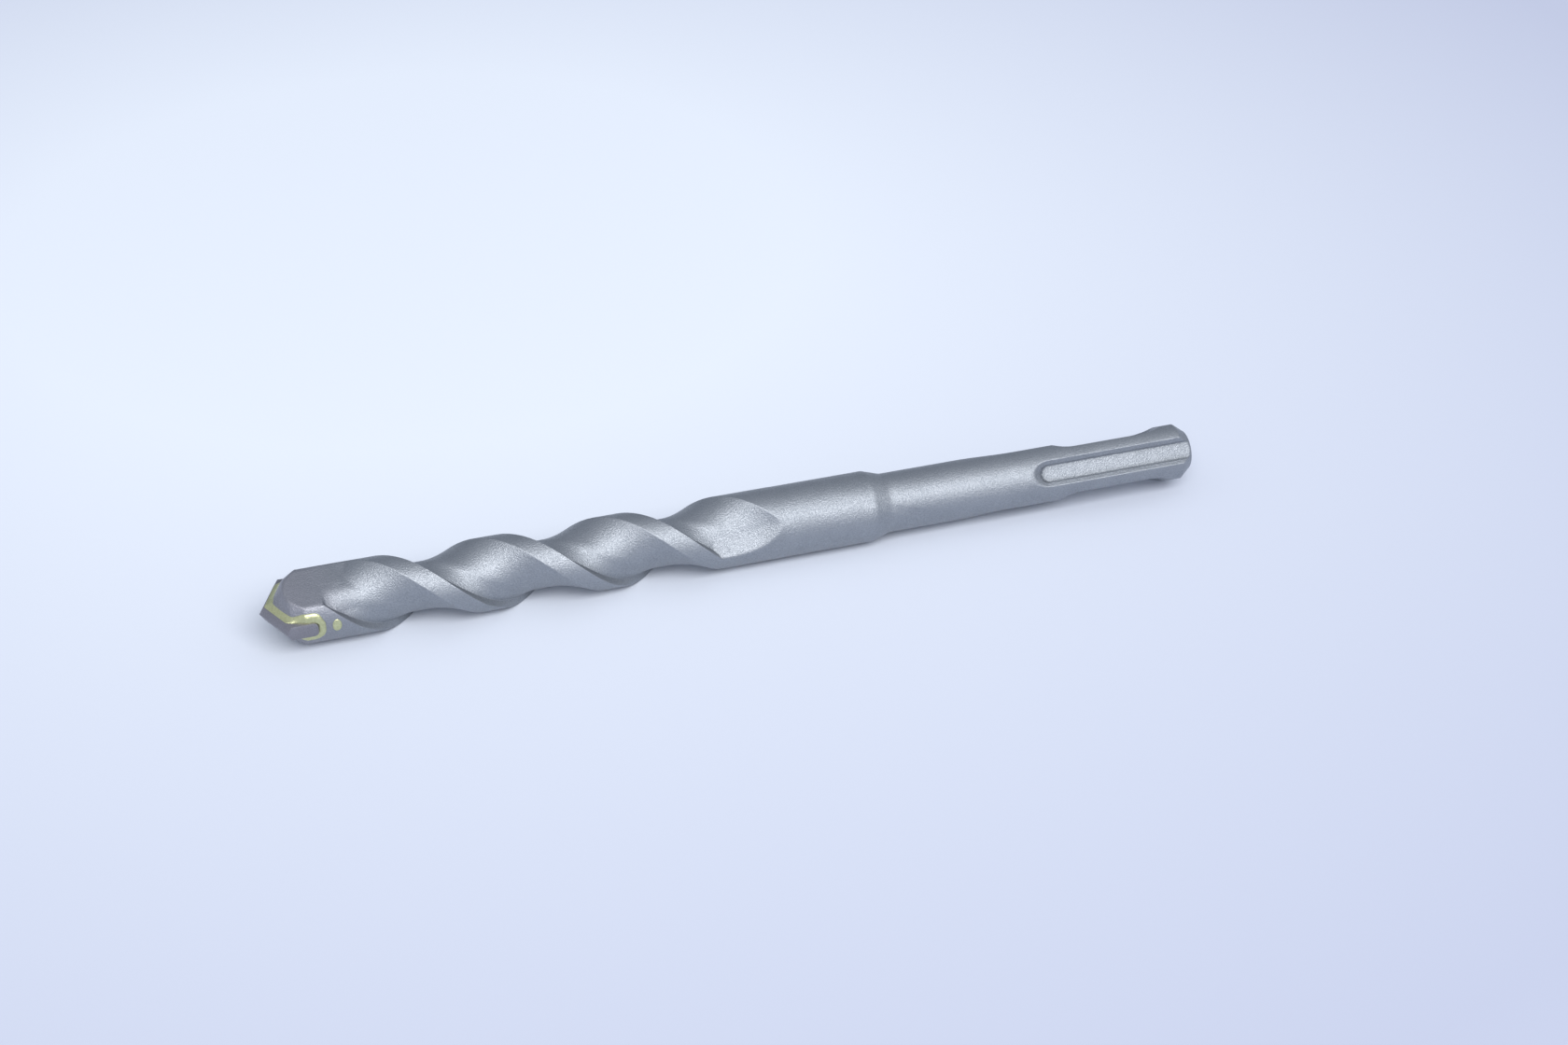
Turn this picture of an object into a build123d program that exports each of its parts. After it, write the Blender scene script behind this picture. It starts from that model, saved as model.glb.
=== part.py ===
"""Masonry drill bit with two helical flutes, a brazed carbide tip and a grooved hammer-drill shank.

The bit lies on its side. X runs from the cutting tip to the struck end, and Z is up.
Stations are distances from the tip along the bit's axis. Polar angles are measured round
the axis, from the front (-Y) upwards. All sizes are in millimetres and degrees.
"""
from build123d import *
from math import acos, atan2, cos, degrees, radians, sin, sqrt
import os

# Overall sizes
overall_length = 160
body_diameter = 12
shank_diameter = 10
collar_end = 101.6
shoulder_length = 3.1
profile_angle = 86.5

# Flutes, in cross-section
flute_lead = 40.2
core_diameter = 7.8
land_angle = 37
wall_lean = 8
core_arc = 60
heel_arc = 45
root_radius = 0.7
wall_angle_at_tip = 117

# Flutes, along the axis
flute_start = 9.6
entry_length = 1.5
entry_radius = 4.7
run_in_length = 8.7
run_in_radius = 3.6
flute_stop = 74.8
run_out_radius = 3.85
straight_run = 1.2
run_out_length = 10.4

# Nose of the body
nose_front = 0.9
nose_crown_radius = 2.6
nose_crown_station = 2.15
nose_dome_radius = 4.74
nose_dome_station = 4.2
nose_full_station = 6.5
nose_flat_distance = 4.24

# Carbide tip
tip_width = 12.6
tip_thickness = 2.6
tip_corner_station = 3.35
tip_rear_station = 8.3
tip_flank_drop = 0.75
tip_rear_radius = 0.8
tip_angle = -5.5

# Solder round the tip
solder_gap = 0.15
solder_band = 1.2
solder_depth = 0.5
solder_corner_radius = 2.2

# Solder spot on each land, behind the tip
spot_station = 11.3
spot_length = 1.5
spot_width = 2.4
spot_depth = 0.4

# Drive slots, open at the struck end
slot_angle = 34
slot_mouth_width = 4.75
slot_floor_width = 2.65
slot_floor_distance = 3.55
slot_floor_length = 28

# Locking grooves, closed at both ends, a quarter turn from the drive slots
groove_angle = slot_angle + 90
groove_width = 6.15
groove_floor_distance = 3.1
groove_front_station = 135.1
groove_front_ramp = 3.9
groove_rear_station = 156.1
groove_rear_ramp = 4.6

# Struck end
end_chamfer_length = 2.3
end_chamfer_depth = 1.8
end_edge_radius = 0.8

# Overlap of a cutting shape past the face that it cuts
cut_margin = 1

# Worked out from the sizes above
body_radius = body_diameter / 2
shank_radius = shank_diameter / 2
core_radius = core_diameter / 2
tip_radius = tip_width / 2
twist_rate = 360 / flute_lead
flute_angle = 180 - land_angle
clear = body_diameter

# Frame of the bit: origin at the tip, x to the front, y up, z from the struck end to the tip
bit = Plane(origin=(-overall_length / 2, 0, body_radius), x_dir=(0, -1, 0), z_dir=(-1, 0, 0))
axis = Axis(bit.origin, bit.z_dir)


def polar(radius, angle):
    return (radius * cos(radians(angle)), radius * sin(radians(angle)))


def across(distance, angle=0):
    """Cross-section at a distance from the tip, with its x at the polar angle."""
    return Plane(bit * Pos(0, 0, -distance) * Rot(0, 0, angle))


def along(angle):
    """Lengthwise section: x is the radius at the polar angle, y is the distance from the tip."""
    return Plane(origin=bit.origin, x_dir=across(0, angle).x_dir, z_dir=across(0, angle).y_dir)


def outside(radius, distance, angle):
    """Plane facing outwards at the polar angle, with its x towards the struck end."""
    outward = across(0, angle).x_dir
    origin = across(distance).origin + outward * radius
    return Plane(origin=origin, x_dir=-bit.z_dir, z_dir=outward)


def wall_angle(distance):
    """Polar angle of the steep flute wall's edge at a station."""
    return wall_angle_at_tip - twist_rate * distance


# Fluted bar: each flute has a steep wall in front and a long heel behind
run_out_end = flute_stop + run_out_length
bar_end = run_out_end + cut_margin
cut_start = flute_start - cut_margin
cut_end = bar_end + cut_margin
with BuildSketch(across(cut_start, wall_angle(cut_start))) as flute_section:
    wall_foot = Vector(polar(core_radius, wall_lean))
    wall_top = Vector(polar(body_radius, 0))
    with BuildLine():
        wall = Line(wall_top * 2 - wall_foot, wall_foot)
        core = CenterArc((0, 0), core_radius, wall_lean, core_arc)
        heel_end = polar(body_radius, flute_angle)
        heel = TangentArc(core @ 1, heel_end, tangent=core % 1, mode=Mode.PRIVATE)
        heel = JernArc(core @ 1, core % 1, heel.radius, heel_arc)
        Polyline(heel @ 1, (-clear, clear), (clear, clear), wall @ 0)
    make_face()
    fillet(flute_section.vertices().sort_by_distance(wall_foot)[0], radius=root_radius)

flat_half_angle = degrees(acos(nose_flat_distance / body_radius))
flat_angle = wall_angle(flute_start) + flat_half_angle
flat_end = (wall_angle_at_tip + flute_angle - flat_angle - flat_half_angle) / twist_rate
floor_half_angle = degrees(acos(run_out_radius / body_radius))
floor_angle = wall_angle(flute_stop) + floor_half_angle
web_length = land_angle / twist_rate


def flute_entry(turn):
    """Steel left standing behind each flat of the nose, until the flute's heel is clear of it."""
    with BuildPart() as standing:
        with BuildSketch(across(cut_start - cut_margin, flat_angle + turn)):
            with Locations((nose_flat_distance, 0)):
                Rectangle(2 * clear, 2 * clear, align=(Align.MAX, Align.MIN))
        extrude(amount=cut_start - cut_margin - flat_end)
    return standing.part


def flute_end(turn):
    """Steel left standing where a flute runs out: a straight floor that curves up to the surface."""
    with BuildPart() as standing:
        with BuildSketch(across(flute_stop)):
            Circle(clear)
        extrude(amount=flute_stop - cut_end - cut_margin)
        side = along(floor_angle + turn)
        with BuildSketch(side) as lift:
            with BuildLine():
                floor = Line((run_out_radius, flute_stop), (run_out_radius, flute_stop + straight_run))
                rise = TangentArc(floor @ 1, (body_radius, run_out_end), tangent=floor % 1)
                outlet = Line(rise @ 1, rise @ 1 + rise % 1 * clear)
                Polyline(outlet @ 1, ((outlet @ 1).X, flute_stop), floor @ 0)
            make_face()
        extrude(amount=2 * clear, dir=-side.z_dir, mode=Mode.SUBTRACT)
        revolve(lift.sketch, axis=axis, revolution_arc=flute_angle, mode=Mode.SUBTRACT)

        # Web that carries the last of the flute's wall down to nothing at the run-out's corner
        with BuildSketch(across(flute_stop - web_length, floor_angle + turn)):
            wall_corner = polar(body_radius, -floor_half_angle)
            Polygon((0, 0), (run_out_radius, 0), wall_corner, align=None)
        extrude(amount=-web_length - cut_margin)
    return standing.part


with BuildPart() as fluted_bar:
    with BuildSketch(across(flute_start)):
        Circle(body_radius)
    extrude(amount=flute_start - bar_end)
    for turn in (0, 180):
        twisted = Solid.extrude_linear_with_rotation(
            flute_section.sketch.face().rotate(axis, turn),
            center=across(cut_start).origin,
            normal=bit.z_dir * (cut_start - cut_end),
            angle=twist_rate * (cut_end - cut_start),
        )
        add(twisted - flute_entry(turn) - flute_end(turn), mode=Mode.SUBTRACT)

def nose_blank(inset=0):
    """Domed barrel with two flats, tapered behind to let the flutes run in, or set in all over."""
    with BuildPart() as nose:
        with BuildSketch(along(0)):
            Polygon(
                (0, nose_front + inset),
                (nose_crown_radius - inset, nose_crown_station + inset),
                (nose_dome_radius - inset, nose_dome_station + inset),
                (body_radius - inset, nose_full_station + inset),
                (body_radius - inset, flute_start),
                (entry_radius - inset, flute_start + entry_length),
                (run_in_radius - inset, flute_start + run_in_length),
                (0, flute_start + run_in_length),
                align=None,
            )
        revolve(axis=axis)
        with BuildSketch(across(0, flat_angle)):
            Rectangle(2 * (nose_flat_distance - inset), 2 * body_diameter)
        extrude(amount=-2 * (flute_start + run_in_length), mode=Mode.INTERSECT)
    return nose.part


# Plain length: collar, shoulder and shank
with BuildPart() as plain_length:
    with BuildSketch(along(profile_angle)):
        with BuildLine():
            Polyline(
                (0, bar_end),
                (body_radius, bar_end),
                (body_radius, collar_end),
                (shank_radius, collar_end + shoulder_length),
                (shank_radius, overall_length - end_chamfer_length),
                (shank_radius - end_chamfer_depth, overall_length),
                (0, overall_length),
                close=True,
            )
        end_face = make_face()
        end_rim = (shank_radius - end_chamfer_depth, overall_length)
        fillet(end_face.vertices().sort_by_distance(end_rim)[0], radius=end_edge_radius)
    revolve(axis=axis)

    # Drive slots with sloping walls and a round inner end
    mouth_distance = sqrt(shank_radius**2 - (slot_mouth_width / 2) ** 2)
    wall_spread = (slot_mouth_width - slot_floor_width) / 2
    slot_wall_angle = degrees(atan2(wall_spread, mouth_distance - slot_floor_distance))
    slot_round_centre = overall_length - slot_floor_length + slot_floor_width / 2
    slot_straight = overall_length + cut_margin - slot_round_centre
    for turn in (0, 180):
        with BuildSketch(outside(slot_floor_distance, slot_round_centre, slot_angle + turn)):
            Rectangle(slot_straight, slot_floor_width, align=(Align.MIN, Align.CENTER))
            Circle(slot_floor_width / 2)
        extrude(
            amount=shank_radius - slot_floor_distance + cut_margin,
            taper=-slot_wall_angle,
            mode=Mode.SUBTRACT,
        )

    # Locking grooves: shallow round-bottomed hollows with ramped ends
    lip_distance = sqrt(shank_radius**2 - (groove_width / 2) ** 2)
    groove_sag = lip_distance - groove_floor_distance
    groove_radius = ((groove_width / 2) ** 2 + groove_sag**2) / (2 * groove_sag)
    groove_centre = groove_floor_distance + groove_radius
    for turn in (0, 180):
        side = along(groove_angle + turn)
        with BuildSketch(side):
            with BuildLine():
                groove_floor = Line(
                    (groove_floor_distance, groove_front_station + groove_front_ramp),
                    (groove_floor_distance, groove_rear_station - groove_rear_ramp),
                )
                TangentArc(
                    groove_floor @ 0,
                    (shank_radius, groove_front_station),
                    tangent=-(groove_floor % 0),
                )
                TangentArc(
                    groove_floor @ 1,
                    (shank_radius, groove_rear_station),
                    tangent=groove_floor % 1,
                )
                Polyline(
                    (shank_radius, groove_front_station),
                    (groove_centre, groove_front_station),
                    (groove_centre, groove_rear_station),
                    (shank_radius, groove_rear_station),
                )
            make_face()
        revolve(
            axis=Axis(side.from_local_coords((groove_centre, 0, 0)), side.y_dir),
            mode=Mode.SUBTRACT,
        )


def tip_prism(margin, corner_radius, reach):
    """Bar along the tip's width, as thick and deep as the tip plus a margin, round at the rear."""
    with BuildPart() as prism:
        with BuildSketch(along(tip_angle + 90)):
            RectangleRounded(
                tip_thickness + 2 * margin,
                2 * (tip_rear_station + margin),
                corner_radius,
            )
        extrude(amount=reach, both=True)
    return prism.part


pocket = tip_prism(solder_gap, tip_rear_radius + solder_gap, clear)
solder_mouth = tip_prism(solder_band, solder_corner_radius, clear) - nose_blank(solder_depth)

# Oval pins outwards from the bottom of each solder spot
with BuildPart() as spot_pins:
    for turn in (0, 180):
        with BuildSketch(outside(body_radius - spot_depth, spot_station, tip_angle + turn)):
            Ellipse(spot_length / 2, spot_width / 2)
        extrude(amount=2 * spot_depth)

# Carbide tip: a plate with a four-sided roof, ground round to the cutting diameter
with BuildPart() as carbide_tip:
    add(tip_prism(0, tip_rear_radius, clear))
    with BuildSketch(across(0)):
        Circle(tip_radius)
    extrude(amount=-2 * tip_rear_station, mode=Mode.INTERSECT)
    roof_height = 2 * tip_rear_station
    roof_half_width = roof_height * tip_radius / tip_corner_station
    roof_half_thickness = roof_height * tip_thickness / 2 / tip_flank_drop
    with BuildSketch(across(roof_height, tip_angle)) as roof_base:
        Polygon(
            (roof_half_width, 0),
            (0, roof_half_thickness),
            (-roof_half_width, 0),
            (0, -roof_half_thickness),
        )
    loft([roof_base.sketch.face(), Vertex(bit.origin)], mode=Mode.INTERSECT)
carbide_tip.part.label = "carbide_tip"

# Nose with the pocket for the tip
with BuildPart() as nose:
    add(nose_blank())
    add([pocket, solder_mouth], mode=Mode.SUBTRACT)

# Body: plain length, fluted bar and nose as one piece of steel
with BuildPart() as drill_body:
    add(plain_length.part)
    add(fluted_bar.part)
    add(nose.part)
    add(spot_pins.part, mode=Mode.SUBTRACT)
drill_body.part.label = "drill_body"

# Solder seam: fills the pocket round the tip, and shows as a band at its mouth
with BuildPart() as braze_seam:
    add([pocket, solder_mouth])
    add(nose_blank(), mode=Mode.INTERSECT)
    add(carbide_tip.part, mode=Mode.SUBTRACT)
braze_seam.part.label = "braze_seam"

# Solder spots, level with the lands
with BuildPart() as braze_spots:
    add(spot_pins.part)
    with BuildSketch(across(spot_station - spot_length)):
        Circle(body_radius)
    extrude(amount=-2 * spot_length, mode=Mode.INTERSECT)
braze_spots.part.label = "braze_spots"

os.makedirs("parts", exist_ok=True)
for piece in (drill_body, carbide_tip, braze_seam, braze_spots):
    export_step(piece.part, f"parts/{piece.part.label}.step")
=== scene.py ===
"""Looks of the masonry drill bit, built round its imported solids.

The bit lies along X with its tip at -X. Shapes are worked out in millimetres and degrees:
a station is the distance from the tip along the axis, and a polar angle runs round the axis
from the front (-Y) upwards. Meshes are made in metres.
"""

from math import cos, pi, radians, sin

import bmesh
import bpy
import numpy as np
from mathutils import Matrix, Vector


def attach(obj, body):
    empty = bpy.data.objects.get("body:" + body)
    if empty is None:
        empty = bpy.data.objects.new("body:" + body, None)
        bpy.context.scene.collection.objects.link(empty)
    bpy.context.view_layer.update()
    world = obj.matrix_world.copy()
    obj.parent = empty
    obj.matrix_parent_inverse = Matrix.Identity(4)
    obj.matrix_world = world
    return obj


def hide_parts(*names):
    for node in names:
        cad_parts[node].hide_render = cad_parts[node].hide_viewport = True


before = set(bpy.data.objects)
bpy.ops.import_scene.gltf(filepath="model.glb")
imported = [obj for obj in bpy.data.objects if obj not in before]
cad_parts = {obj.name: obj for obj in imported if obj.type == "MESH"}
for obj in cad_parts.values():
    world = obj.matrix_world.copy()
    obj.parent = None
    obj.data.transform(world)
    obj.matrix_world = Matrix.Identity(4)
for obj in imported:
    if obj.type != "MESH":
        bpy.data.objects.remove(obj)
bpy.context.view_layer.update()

# Body sizes
LENGTH = 160.0
BODY_R = 6.0
SHANK_R = 5.0
COLLAR_END = 101.6
SHOULDER_END = 104.7

# Flutes in cross-section: a steep wall, a root that falls to the round core, and a heel up to the land
CORE_R = 3.9
LAND = 37.0
WALL_LEAN = 4.0
CORE_ARC = 60.0
ROOT_RISE = 0.9
ROOT_ARC = 42.0
ROOT_BLEND = 0.3

# Flutes along the axis
LEAD = 40.2
WALL_AT_TIP = 117.0
FLUTE_START = 9.6
FLUTE_STOP = 74.8
RUN_OUT_R = 3.85
RUN_OUT_FLAT = 76.0
RUN_OUT_END = 85.2
HELIX_END = 86.0

# Nose, and the hollow that lets a flute in: (radius, station) along each profile
NOSE_PROFILE = ((0.0, 1.3), (1.3, 1.65), (2.4, 2.7), (3.4, 3.4), (4.74, 4.35), (6.0, 6.5))
ENTRY_PROFILE = (
    (6.6, 9.2), (4.85, 9.8), (4.5, 10.8), (4.25, 12.6), (4.0, 14.8), (3.75, 17.5), (3.2, 22.0), (2.6, 26.0)
)
ENTRY_ANGLE = 50.0
FLAT = 4.24

# Stations past which the nose and before which the run-out no longer shape the body
NOSE_REACH = 30.0
RUN_OUT_REACH = 69.0

# Rounding of edges
EDGE = 0.08
TURNED_EDGE = 0.12
HOLLOW_BLEND = 0.5

# Carbide tip and solder
TIP_R = 6.3
TIP_HALF = 1.3
TIP_REAR = 8.3
TIP_CORNER = 0.8
TIP_ANGLE = -5.5
TIP_ROOF = (0.532, 0.577)
TIP_BEVEL = 0.07
SPOT_STATION = 11.3
SPOT_SIZE = (1.5, 2.4)
SPOT_SINK = -0.3
SPOT_COLUMNS = 40

# Drive slots, and locking grooves a quarter turn from them, whose ramps run from lip to bottom
SLOT_ANGLE = 34.0
SLOT_FLOOR = 3.55
SLOT_HALF = 1.325
SLOT_STEP = 0.4
SLOT_STEP_RUN = 0.15
SLOT_SPREAD = 1.7
SLOT_CENTRE = 133.325
GROOVE_FLOOR = 3.1
GROOVE_CENTRE = 9.17
GROOVE_RAMPS = ((135.1, 139.0), (156.1, 151.5))

# Struck end
CHAMFER_START = 157.7
END_R = 3.2
END_RIM = 0.8
END_SWELL = 0.45

# Body mesh: (start, step) runs, finer where the form turns sharply, and where each list ends
FLUTE_COLUMNS = ((-1.2, 0.4), (10.0, 1.9), (88.0, 0.8), (92.0, 1.9), (139.0, 0.7), (146.0, 2.0)), 178.8
SHANK_COLUMNS = ((-18.0, 1.9), (16.0, 0.45), (32.0, 1.6), (50.0, 0.5), (56.0, 1.9)), 72.0
STATIONS = (
    (0.96, 0.12), (2.4, 0.2), (17.0, 0.9), (70.0, 0.24), (87.0, 2.0), (101.0, 0.25), (105.6, 2.0), (129.0, 0.3),
    (157.4, 0.2),
), LENGTH
NOSE_POINT = 0.9
COLUMNS_TURN = (89.0, 128.0)


# Fields: functions of station and polar angle
def dcos(a):
    return np.cos(np.radians(a))


def dsin(a):
    return np.sin(np.radians(a))


def soft_min(a, b, k):
    """Lower of two fields, with a rounding about k wide where they cross."""
    h = np.maximum(k - np.abs(a - b), 0) / k
    return np.minimum(a, b) - h * h * k / 4


def soft_max(a, b, k):
    return -soft_min(-a, -b, k)


def smooth_step(x, a, b):
    t = np.clip((x - a) / (b - a), 0, 1)
    return t * t * (3 - 2 * t)


def plane_radius(distance, turn):
    """Radius at which a plane is met, a turn away from its normal."""
    return distance / np.maximum(dcos(turn), 0.01)


def smooth_profile(corners):
    """Radii and stations along a profile, its corners rounded off."""
    at = np.linspace(0, len(corners) - 1, 40 * (len(corners) - 1) + 1)
    kernel = np.hanning(31) / np.hanning(31).sum()
    out = []
    for values in np.array(corners).T:
        fine = np.pad(np.interp(at, range(len(corners)), values), 15, "reflect", reflect_type="odd")
        out.append(np.convolve(fine, kernel, "valid"))
    return out


def wall_angle(z):
    """Polar angle of the steep flute wall's edge at a station."""
    return WALL_AT_TIP - 360 / LEAD * np.clip(z, FLUTE_START, HELIX_END)


DOME = smooth_profile(NOSE_PROFILE)
ENTRY = smooth_profile(ENTRY_PROFILE)
FLAT_ANGLE = wall_angle(FLUTE_START) + np.degrees(np.arccos(FLAT / BODY_R))


def flute(d):
    """Radius across one flute, d degrees after the edge of its steep wall, going on past its edges."""
    top = np.array([BODY_R, 0.0])
    foot = CORE_R * np.array([dcos(WALL_LEAN), dsin(WALL_LEAN)])
    normal = np.array([foot[1] - top[1], top[0] - foot[0]])
    facing = normal[0] * dcos(d) + normal[1] * dsin(d)
    wall = np.where(facing > 0.01, normal @ top / np.maximum(facing, 1e-6), 50.0)
    wall = np.where(d < 90, wall, 0.0)

    # Heel: the arc that leaves the core smoothly and ends at the edge of the land
    start = WALL_LEAN + CORE_ARC
    p = CORE_R * np.array([dcos(start), dsin(start)])
    q = BODY_R * np.array([dcos(180 - LAND), dsin(180 - LAND)])
    inward = -p / CORE_R
    radius = (q - p) @ (q - p) / (2 * inward @ (q - p))
    centre = p + inward * radius
    along = centre[0] * dcos(d) + centre[1] * dsin(d)
    heel = along + np.sqrt(np.maximum(along**2 - centre @ centre + radius**2, 0))

    root = CORE_R + ROOT_RISE * np.maximum(1 - d / ROOT_ARC, 0) ** 2
    return np.where(d > start, heel, soft_max(wall, root, ROOT_BLEND))


def entry(z, th):
    """Radius of the hollow that lets a flute in: nearly plane at its start, and round further back."""
    turn = (th - ENTRY_ANGLE + 90) % 180 - 90
    plane_share = 1 - smooth_step(z, 9.6, 16.0)
    return np.interp(z, ENTRY[1], ENTRY[0], left=50) / np.maximum(dcos(turn * plane_share), 0.2)


def nose(z, th):
    """Radius of the nose: dome, barrel and two flats, with the hollows cut in behind."""
    dome = np.interp(z, DOME[1], DOME[0], left=0, right=50)
    side = FLAT / np.maximum(np.abs(dcos(th - FLAT_ANGLE)), 0.01)
    turned = soft_min(dome, BODY_R + 0 * z, TURNED_EDGE)
    blend = EDGE + 0.4 * smooth_step(z, 5.6, 7.0)
    return soft_min(soft_min(turned, side, blend), entry(z, th), HOLLOW_BLEND)


def heel_fill(z, d):
    """Metal that carries each flat of the nose on, level with it, to the heel of its flute."""
    turn = d + wall_angle(z) - FLAT_ANGLE
    level = soft_min(entry(z, FLAT_ANGLE), FLAT + 0 * z, HOLLOW_BLEND)
    return np.where(turn > 0, plane_radius(level, turn), 0)


def run_out(z, th):
    """Floor of a flute where its cutter lifts out: straight, then curved up to the surface."""
    floor_angle = wall_angle(FLUTE_STOP) + np.degrees(np.arccos(RUN_OUT_R / BODY_R))
    turn = (th - wall_angle(z)) % 180 + wall_angle(z) - floor_angle
    rise, run = BODY_R - RUN_OUT_R, RUN_OUT_END - RUN_OUT_FLAT
    radius = (rise**2 + run**2) / (2 * rise)
    step = np.clip(z - RUN_OUT_FLAT, 0, run)
    floor = RUN_OUT_R + radius - np.sqrt(radius**2 - step**2) + 2 * np.maximum(z - RUN_OUT_END, 0)
    straight = plane_radius(floor, turn)
    level = np.where(turn < 0, straight, floor)
    web_start = FLUTE_STOP - LAND * LEAD / 360
    return np.where(z >= FLUTE_STOP, level, np.where((z > web_start) & (turn < 0), straight, 0))


def slot_cut(z, turn):
    """Radius of a drive slot's floor and sides, a turn away from its middle, found by halving."""
    past_end = np.minimum(z - SLOT_CENTRE, 0)
    low, high = np.zeros_like(z), np.full_like(z, 9.0)
    for _ in range(22):
        mid = (low + high) / 2
        out = np.hypot(mid * dsin(turn), past_end) - SLOT_HALF
        side = SLOT_STEP * smooth_step(out, 0.0, SLOT_STEP_RUN) + np.maximum(out, 0) / SLOT_SPREAD
        over = mid * dcos(turn) - SLOT_FLOOR - side
        low, high = np.where(over < 0, mid, low), np.where(over < 0, high, mid)
    return low


def groove_floor(z):
    """Distance from the axis to the floor of a locking groove, with a ramp at each end."""
    depth = SHANK_R - GROOVE_FLOOR
    floor = np.full_like(z, GROOVE_FLOOR)
    for lip, bottom in GROOVE_RAMPS:
        run = abs(bottom - lip)
        radius = (depth**2 + run**2) / (2 * depth)
        step = np.clip((bottom - z) * np.sign(bottom - lip), 0, 1.3 * run)
        rise = radius - np.sqrt(np.maximum(radius**2 - step**2, 0.01))
        floor = np.maximum(floor, GROOVE_FLOOR + rise)
    return floor


def shank(z, th):
    """Collar, shoulder and shank, with the drive slots and locking grooves cut in."""
    slope = (BODY_R - SHANK_R) / (SHOULDER_END - COLLAR_END)
    shoulder = BODY_R - slope * np.maximum(z - COLLAR_END, 0)
    r = soft_max(soft_min(BODY_R + 0 * z, shoulder, TURNED_EDGE), SHANK_R + 0 * z, TURNED_EDGE)
    for side in (0, 180):
        f = (th - SLOT_ANGLE - side + 180) % 360 - 180
        r = np.where(np.abs(f) < 60, soft_min(r, slot_cut(z, f), 0.1), r)
        g = (th - SLOT_ANGLE - 90 - side + 180) % 360 - 180
        inside = (GROOVE_CENTRE - groove_floor(z)) ** 2 - (GROOVE_CENTRE * dsin(g)) ** 2
        cut = GROOVE_CENTRE * dcos(g) - np.sqrt(np.maximum(inside, 0))
        r = np.where((np.abs(g) < 60) & (inside > 0), soft_min(r, cut, 0.14), r)
    bevel = SHANK_R - (SHANK_R - END_R) / (LENGTH - CHAMFER_START) * (z - CHAMFER_START)
    r = soft_min(r, bevel, TURNED_EDGE)
    in_rim = np.maximum(z - LENGTH + END_RIM, 0)
    round_off = END_R + END_SWELL - END_RIM + np.sqrt(np.maximum(END_RIM**2 - in_rim**2, 0))
    return np.where(z > LENGTH - END_RIM, np.minimum(r, round_off), r)


def body_radius(z, th):
    """Radius of the steel body at stations and polar angles."""
    z, th = np.broadcast_arrays(np.asarray(z, float), np.asarray(th, float))
    d = (th - wall_angle(z)) % 180
    full = np.full(z.shape, BODY_R)
    cut = np.where(d < 179.999, flute(d), 50.0)
    fluted = soft_min(cut, full, EDGE)
    front = nose(z, th)
    near_front = soft_max(np.maximum(fluted, np.minimum(heel_fill(z, d), BODY_R)), front, 0.1)
    blend = EDGE + 0.6 * smooth_step(z, FLUTE_STOP, 79.0)
    run = soft_min(soft_max(cut, run_out(z, th), blend), full, EDGE)
    r = np.select([z < FLUTE_START, z < NOSE_REACH, z < RUN_OUT_REACH], [front, near_front, fluted], run)
    return np.where(z > RUN_OUT_END + 0.5, shank(z, th), np.minimum(r, BODY_R))


# Meshes
def place(z, th, r):
    """Points in metres from station, polar angle and radius in millimetres."""
    x = z - LENGTH / 2 + 0 * r
    return np.stack([x, -r * dcos(th), BODY_R + r * dsin(th)], -1) / 1000


def steps(runs, end):
    """Ascending numbers below the end, from (start, step) runs."""
    starts = [start for start, _ in runs]
    return np.concatenate([
        np.linspace(a, b, max(1, round((b - a) / step)), endpoint=False)
        for (a, step), b in zip(runs, starts[1:] + [end])
    ])


def mesh_object(name, points, faces, smooth=True):
    mesh = bpy.data.meshes.new(name)
    mesh.from_pydata([tuple(p) for p in points], [], [tuple(map(int, f)) for f in faces])
    mesh.validate()
    bm = bmesh.new()
    bm.from_mesh(mesh)
    bmesh.ops.recalc_face_normals(bm, faces=bm.faces)
    bm.to_mesh(mesh)
    bm.free()
    mesh.shade_smooth() if smooth else mesh.shade_flat()
    obj = bpy.data.objects.new(name, mesh)
    bpy.context.scene.collection.objects.link(obj)
    return obj


def rings_to_faces(rows, columns):
    """Quads of a grid of rows, each closed round on itself."""
    i = np.arange(rows - 1)[:, None]
    j = np.arange(columns)[None, :]
    a, b = i * columns + j, i * columns + (j + 1) % columns
    return np.stack([a, b, b + columns, a + columns], -1).reshape(-1, 4)


def capped_rings(name, rings, first, last):
    """A closed surface from rings of points, its two ends drawn together to a point each."""
    rows, columns = rings.shape[:2]
    points = np.concatenate([rings.reshape(-1, 3), [first, last]])
    faces = rings_to_faces(rows, columns).tolist()
    n, end = rows * columns, (rows - 1) * columns
    for j in range(columns):
        k = (j + 1) % columns
        faces.append((n, k, j))
        faces.append((n + 1, end + j, end + k))
    return mesh_object(name, points, faces)


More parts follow.
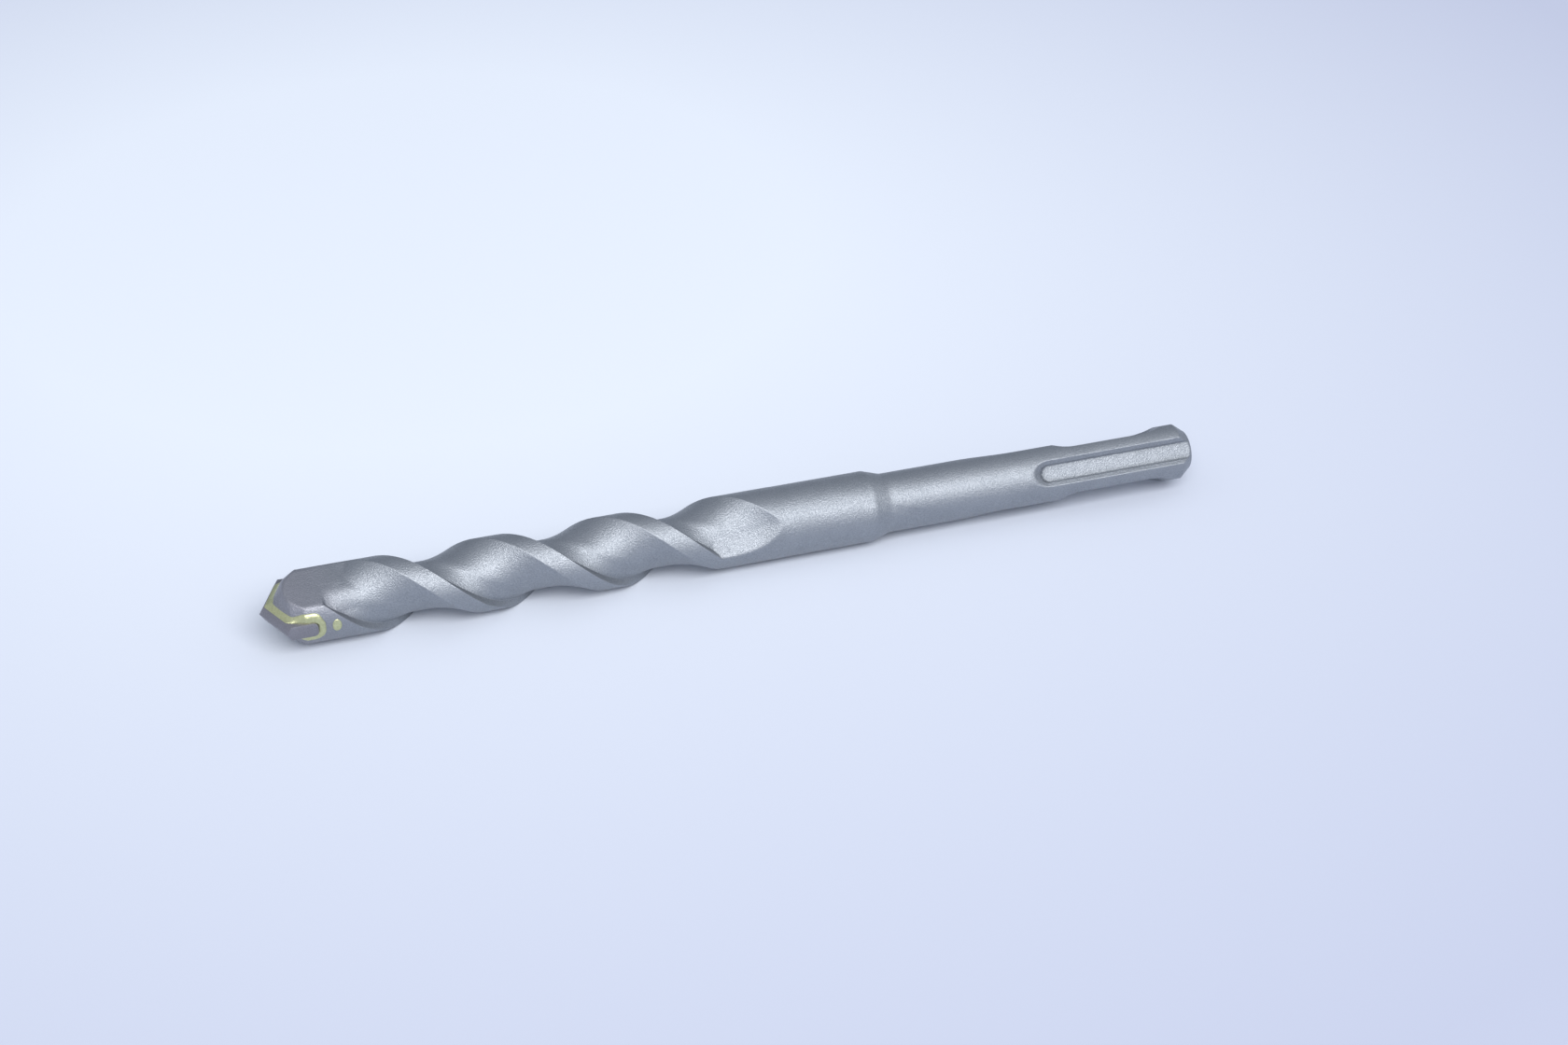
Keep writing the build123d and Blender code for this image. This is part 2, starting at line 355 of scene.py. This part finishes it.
def make_body():
    """The steel body. Its columns follow the helix, then turn to line up with the slots of the shank."""
    half_turn = steps(*FLUTE_COLUMNS)
    flute_columns = np.concatenate([half_turn, half_turn + 180])
    quarter = steps(*SHANK_COLUMNS)
    half_turn = np.sort(np.concatenate([-quarter[quarter > 18], quarter]))
    shank_columns = np.sort(np.concatenate([half_turn, half_turn + 180]))
    shank_columns = np.interp(
        np.linspace(0, 1, len(flute_columns), endpoint=False),
        np.linspace(0, 1, len(shank_columns), endpoint=False),
        shank_columns,
    )
    shank_start = SLOT_ANGLE + 360 * np.round((wall_angle(HELIX_END) - SLOT_ANGLE) / 360)
    rings = []
    for z in np.append(steps(*STATIONS), LENGTH):
        share = smooth_step(z, *COLUMNS_TURN)
        th = (1 - share) * (wall_angle(z) + flute_columns) + share * (shank_start + shank_columns)
        rings.append(place(z, th, body_radius(z, th)))
    rings.append(place(LENGTH, th, np.full_like(th, END_R - 1.0)))
    on_axis = np.array(0.0)
    return capped_rings("body_steel", np.array(rings), place(NOSE_POINT, 0, on_axis), place(LENGTH, 0, on_axis))


def tip_points(local):
    """Points in metres from the tip's own (width, side, station) in millimetres."""
    width, side, station = np.moveaxis(local, -1, 0)
    across = [width * dcos(TIP_ANGLE) - side * dsin(TIP_ANGLE), width * dsin(TIP_ANGLE) + side * dcos(TIP_ANGLE)]
    return np.stack([station - LENGTH / 2, -across[0], BODY_R + across[1]], -1) / 1000


def convex(name, planes, size):
    """Solid kept by planes, each a normal and a distance from the origin."""
    bm = bmesh.new()
    bmesh.ops.create_cube(bm, size=size)
    for normal, distance in planes:
        normal = np.array(normal, float)
        scale = np.linalg.norm(normal)
        cut = bmesh.ops.bisect_plane(
            bm,
            geom=bm.verts[:] + bm.edges[:] + bm.faces[:],
            plane_co=tuple(normal * distance / scale**2),
            plane_no=tuple(normal),
            clear_outer=True,
            dist=1e-6,
        )
        edges = [e for e in cut["geom_cut"] if isinstance(e, bmesh.types.BMEdge)]
        if edges:
            bmesh.ops.edgeloop_fill(bm, edges=edges)
    bmesh.ops.recalc_face_normals(bm, faces=bm.faces)
    mesh = bpy.data.meshes.new(name)
    bm.to_mesh(mesh)
    bm.free()
    return mesh


def tip_planes():
    """Planes of the plate: its roof, its sides, its rounded rear corners and its ground ends."""
    planes = [((sx * TIP_ROOF[0], sy * TIP_ROOF[1], -1), 0) for sx in (1, -1) for sy in (1, -1)]
    for sy in (1, -1):
        planes.append(((0, sy, 0), TIP_HALF))
        for a in np.linspace(0, 90, 9)[1:-1]:
            corner = (TIP_HALF - TIP_CORNER) * sin(radians(a)) + (TIP_REAR - TIP_CORNER) * cos(radians(a))
            planes.append(((0, sy * sin(radians(a)), cos(radians(a))), corner + TIP_CORNER))
    planes.append(((0, 0, 1), TIP_REAR))
    for sx in (1, -1):
        for a in np.linspace(-10.5, 10.5, 7):
            planes.append(((sx * cos(radians(a)), sin(radians(a)), 0), TIP_R))
    return planes


def make_tip():
    """The carbide plate, with a fine bevel on its sharp edges."""
    mesh = convex("tip_carbide", tip_planes(), 40)
    mesh.vertices.foreach_set("co", tip_points(np.array([v.co for v in mesh.vertices])).ravel())
    mesh.update()
    obj = bpy.data.objects.new("tip_carbide", mesh)
    bpy.context.scene.collection.objects.link(obj)
    bm = bmesh.new()
    bm.from_mesh(mesh)
    bmesh.ops.recalc_face_normals(bm, faces=bm.faces)
    sharp = [e for e in bm.edges if e.calc_face_angle(0) > radians(18)]
    bmesh.ops.bevel(
        bm, geom=sharp, offset=TIP_BEVEL / 1000, segments=2, profile=0.5, affect="EDGES", clamp_overlap=True
    )
    bm.to_mesh(mesh)
    bm.free()
    mesh.shade_smooth()
    mesh.set_sharp_from_angle(angle=radians(35))
    return obj


def solder_guide():
    """Samples once round the plate: end, share of the width, side, station and turn of the rear corner."""
    mid, start = TIP_HALF - TIP_CORNER, TIP_REAR - TIP_CORNER
    out = np.linspace(0.02, 1, 34)
    down = np.linspace(6.5, start, 8)[1:]
    turn = np.linspace(0, 90, 13)[1:]
    rear = np.linspace(mid, -mid, 9)[1:]
    one = [(t, mid, 0, 0) for t in out] + [(1, mid, z, 0) for z in down]
    one += [(1, mid, start, a) for a in turn] + [(1, m, start, 90) for m in rear]
    one += [(1, -mid, start, 90 + a) for a in turn] + [(1, -mid, z, 180) for z in down[::-1][1:]]
    one += [(t, -mid, 0, 180) for t in out[::-1]]
    return np.array([(end, *row) for end in (1, -1) for row in one], float).T


def solder_points(offset, bead, fillet):
    """Points at offsets from the plate's sides: lifted outward for the bead, forward for the fillet."""
    end, share, mid, station, turn = solder_guide()
    corner = TIP_CORNER + offset
    side = mid + corner * dcos(turn)
    reach = np.sqrt(BODY_R**2 - side**2)
    front = station == 0
    width = end * share * reach
    z = np.where(front, np.interp(np.hypot(width, side), *DOME), station + corner * dsin(turn))
    exposed = np.interp(np.hypot(width, TIP_HALF), *DOME) - TIP_ROOF[0] * share * reach - TIP_ROOF[1] * TIP_HALF
    ahead = np.where(front, 1 - smooth_step(share, 0.8, 1.0), 0)
    radial = np.stack([width, end * side], -1) / np.hypot(width, side)[:, None]
    flat = np.stack([width, end * side], -1) + radial * ((1 - ahead) * bead)[:, None]
    return tip_points(np.concatenate([flat, (z - ahead * fillet * (exposed - 0.06))[:, None]], -1))


# Section of the solder: share of its width, of the bead's height and of the fillet's
SOLDER_SECTION = (
    (-0.10, -1.0, -0.3), (-0.10, 0.25, 0.98), (0.03, 0.40, 0.98), (0.08, 0.68, 0.84), (0.20, 0.90, 0.62),
    (0.36, 1.0, 0.44), (0.54, 1.0, 0.28), (0.72, 0.86, 0.15), (0.87, 0.52, 0.06), (0.96, 0.14, 0.01),
    (1.0, -0.12, -0.05), (1.0, -1.0, -0.3),
)


def make_seam():
    """The solder: a band along each side of the plate, swelling to a bead round both of its rear ends."""
    _, share, _, station, turn = solder_guide()
    around_ring = np.where(station == 0, smooth_step(share, 0.75, 1.0), 1)
    widths = 0.65 + around_ring * (0.85 - 0.4 * smooth_step(turn, 20, 70))
    crown = 0.24 - 0.08 * smooth_step(turn, 60, 180)
    loops = []
    for w, bead, fillet in SOLDER_SECTION:
        gap = 0.16 * smooth_step(turn, 50, 80) * (w > -0.05)
        height = bead * crown if bead > 0 else np.full_like(crown, 0.35 * bead)
        loops.append(solder_points(w * widths + gap, height, fillet))
    around, count = len(loops), len(share)
    faces = rings_to_faces(count + 1, around) % (count * around)
    return mesh_object("solder_seam", np.array(loops).transpose(1, 0, 2).reshape(-1, 3), faces)


def make_spots():
    """The two solder spots, slightly domed."""
    dome = ((1.0, SPOT_SINK), (0.97, 0.02), (0.85, 0.07), (0.65, 0.1), (0.35, 0.12))
    points, faces = [], []
    n = SPOT_COLUMNS
    for side in (0, 180):
        base = len(points)
        for f, h in dome:
            for a in np.linspace(0, 2 * pi, n, endpoint=False):
                z = SPOT_STATION + f * SPOT_SIZE[0] / 2 * cos(a)
                th = TIP_ANGLE + side + np.degrees(f * SPOT_SIZE[1] / 2 * sin(a) / BODY_R)
                points.append(place(z, th, np.array(BODY_R + h)))
        faces += (base + rings_to_faces(len(dome), n)).tolist()
        for ring, h in ((0, SPOT_SINK), (len(dome) - 1, 0.13)):
            centre, start = len(points), base + ring * n
            points.append(place(SPOT_STATION, TIP_ANGLE + side, np.array(BODY_R + h)))
            faces += [(centre, start + j, start + (j + 1) % n) for j in range(n)]
    return mesh_object("solder_spots", points, faces)


body = make_body()
tip = make_tip()
seam = make_seam()
spots = make_spots()


# Materials
def new_material(name, metallic, roughness):
    mat = bpy.data.materials.new(name)
    mat.use_nodes = True
    tree = mat.node_tree
    shader = tree.nodes["Principled BSDF"]
    shader.inputs["Metallic"].default_value = metallic
    shader.inputs["Roughness"].default_value = roughness
    coords = tree.nodes.new("ShaderNodeTexCoord")
    return mat, tree, shader, coords.outputs["Object"]


def noise(tree, coords, per_mm, detail=2.0, rough=0.5):
    node = tree.nodes.new("ShaderNodeTexNoise")
    node.inputs["Scale"].default_value = per_mm * 1000
    node.inputs["Detail"].default_value = detail
    node.inputs["Roughness"].default_value = rough
    tree.links.new(coords, node.inputs["Vector"])
    return node.outputs["Fac"]


def remap(tree, value, low, high, a, b):
    node = tree.nodes.new("ShaderNodeMapRange")
    node.inputs["From Min"].default_value = low
    node.inputs["From Max"].default_value = high
    node.inputs["To Min"].default_value = a
    node.inputs["To Max"].default_value = b
    tree.links.new(value, node.inputs["Value"])
    return node.outputs["Result"]


def mix_colour(tree, factor, a, b, blend="MIX"):
    """Colour between a and b, each of which is three numbers or a socket."""
    node = tree.nodes.new("ShaderNodeMix")
    node.data_type = "RGBA"
    node.blend_type = blend
    for socket, colour in ((node.inputs[6], a), (node.inputs[7], b)):
        if isinstance(colour, tuple):
            socket.default_value = (*colour, 1)
        else:
            tree.links.new(colour, socket)
    tree.links.new(factor, node.inputs["Factor"])
    return node.outputs[2]


def bump(tree, shader, height, strength, distance_mm):
    node = tree.nodes.new("ShaderNodeBump")
    node.inputs["Strength"].default_value = strength
    node.inputs["Distance"].default_value = distance_mm / 1000
    tree.links.new(height, node.inputs["Height"])
    tree.links.new(node.outputs["Normal"], shader.inputs["Normal"])


def blasted_metal(name, dark, light, roughness, grain, relief):
    """Matte metal, pitted all over by blasting, with soft patches of tone, and painted shade that darkens its
    recesses.
    """
    mat, tree, shader, coords = new_material(name, 1.0, roughness)
    fine = noise(tree, coords, grain, 2.0, 0.7)
    patches = noise(tree, coords, 0.25, 3.0)
    tone = tree.nodes.new("ShaderNodeMath")
    tone.operation = "MULTIPLY_ADD"
    tone.inputs[1].default_value = 0.6
    tree.links.new(patches, tone.inputs[0])
    tree.links.new(remap(tree, fine, 0.35, 0.65, -0.1, 0.5), tone.inputs[2])
    metal = mix_colour(tree, tone.outputs[0], dark, light)
    # Painted shade: where ambient occlusion finds nearby surfaces (creases, slots, flute walls) the colour is
    # pulled towards 0.45 of the dark tone.
    recess = tree.nodes.new("ShaderNodeAmbientOcclusion")
    recess.inputs["Distance"].default_value = 0.0016
    recess.only_local = True
    unoccluded_share = remap(tree, recess.outputs["AO"], 0.5, 0.95, 0.0, 1.0)
    with_painted_shade = mix_colour(tree, unoccluded_share, tuple(0.45 * value for value in dark), metal)
    tree.links.new(with_painted_shade, shader.inputs["Base Color"])
    tree.links.new(remap(tree, fine, 0.3, 0.7, roughness + 0.08, roughness - 0.08), shader.inputs["Roughness"])
    bump(tree, shader, fine, relief, 0.1)
    return mat


def tint_near_tip(mat):
    """Warm, slightly purple grey on the steel near the tip: full up to 6 mm from the tip, gone by 16 mm."""
    tree = mat.node_tree
    base = tree.nodes["Principled BSDF"].inputs["Base Color"]
    coords = tree.nodes.new("ShaderNodeTexCoord").outputs["Object"]
    split = tree.nodes.new("ShaderNodeSeparateXYZ")
    tree.links.new(coords, split.inputs[0])
    near_tip = remap(tree, split.outputs["X"], -0.074, -0.064, 1.0, 0.0)
    tinted = mix_colour(tree, near_tip, base.links[0].from_socket, (1.0, 0.95, 0.97), "MULTIPLY")
    tree.links.new(tinted, base)


steel = blasted_metal("blasted_steel", (0.265, 0.287, 0.315), (0.385, 0.405, 0.437), 0.48, 4.2, 1.0)
carbide = blasted_metal("hard_metal", (0.24, 0.235, 0.26), (0.33, 0.325, 0.355), 0.5, 5.5, 0.3)
solder = blasted_metal("solder", (0.48, 0.49, 0.28), (0.64, 0.655, 0.40), 0.4, 2.2, 0.6)
tint_near_tip(steel)

for obj, mat, slot, node in (
    (body, steel, "blasted_steel", "drill_body"),
    (tip, carbide, "hard_metal", "carbide_tip"),
    (seam, solder, "solder", "braze_seam"),
    (spots, solder, "solder", "braze_spots"),
):
    obj.data.materials.append(mat)
    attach(obj, "root")
    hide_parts(node)

# Floor: pale blue, with a painted pool of light: paler near a point behind the bit and darker blue round it
floor = mesh_object("floor", [(-2, -2, 0), (2, -2, 0), (2, 2, 0), (-2, 2, 0)], [(0, 1, 2, 3)], False)
mat, tree, shader, coords = new_material("floor_paper", 0.0, 0.9)
shader.inputs["Specular IOR Level"].default_value = 0.0
away = tree.nodes.new("ShaderNodeVectorMath")
away.operation = "DISTANCE"
away.inputs[1].default_value = (-0.03, 0.13, 0)
tree.links.new(coords, away.inputs[0])
# Painted light: the floor colour darkens with distance from that point, standing in for the falloff of the
# lamp's light.
painted_light_falloff = remap(tree, away.outputs["Value"], 0.08, 0.28, 0.0, 1.0)
tree.links.new(mix_colour(tree, painted_light_falloff, (0.72, 0.76, 0.825), (0.50, 0.53, 0.65)), shader.inputs["Base Color"])
floor.data.materials.append(mat)

# Light: an even pale room, dimmer behind the bit
world = bpy.data.worlds.new("room")
bpy.context.scene.world = world
world.use_nodes = True
tree = world.node_tree
background = tree.nodes["Background"]
background.inputs["Strength"].default_value = 0.62
depth = tree.nodes.new("ShaderNodeSeparateXYZ")
tree.links.new(tree.nodes.new("ShaderNodeTexCoord").outputs["Generated"], depth.inputs[0])
behind = remap(tree, depth.outputs["Y"], 0.3, 0.9, 0.0, 1.0)
tree.links.new(mix_colour(tree, behind, (0.92, 0.98, 1.10), (0.62, 0.69, 0.82)), background.inputs["Color"])

# Light: one wide softbox in front of the bit and above it
lamp = bpy.data.lights.new("key", "AREA")
lamp.shape = "RECTANGLE"
lamp.size, lamp.size_y = 3.2, 1.4
lamp.energy = 74.0
lamp.color = (0.99, 0.99, 0.99)
key = bpy.data.objects.new("key", lamp)
bpy.context.scene.collection.objects.link(key)
key.location = (0.1, -1.76, 1.95)
key.rotation_euler = (-Vector(key.location)).normalized().to_track_quat("-Z", "Y").to_euler()

# Camera, at the photograph's angle
camera = bpy.data.cameras.new("camera")
camera.sensor_width = 36
camera.lens = 65.24
view = bpy.data.objects.new("camera", camera)
bpy.context.scene.collection.objects.link(view)
view.location = (-0.11517, -0.37565, 0.26419)
view.rotation_euler = (radians(56.802), 0, radians(-18.053))
camera.clip_start, camera.clip_end = 0.01, 20
bpy.context.scene.camera = view
bpy.context.scene.view_settings.view_transform = "Standard"
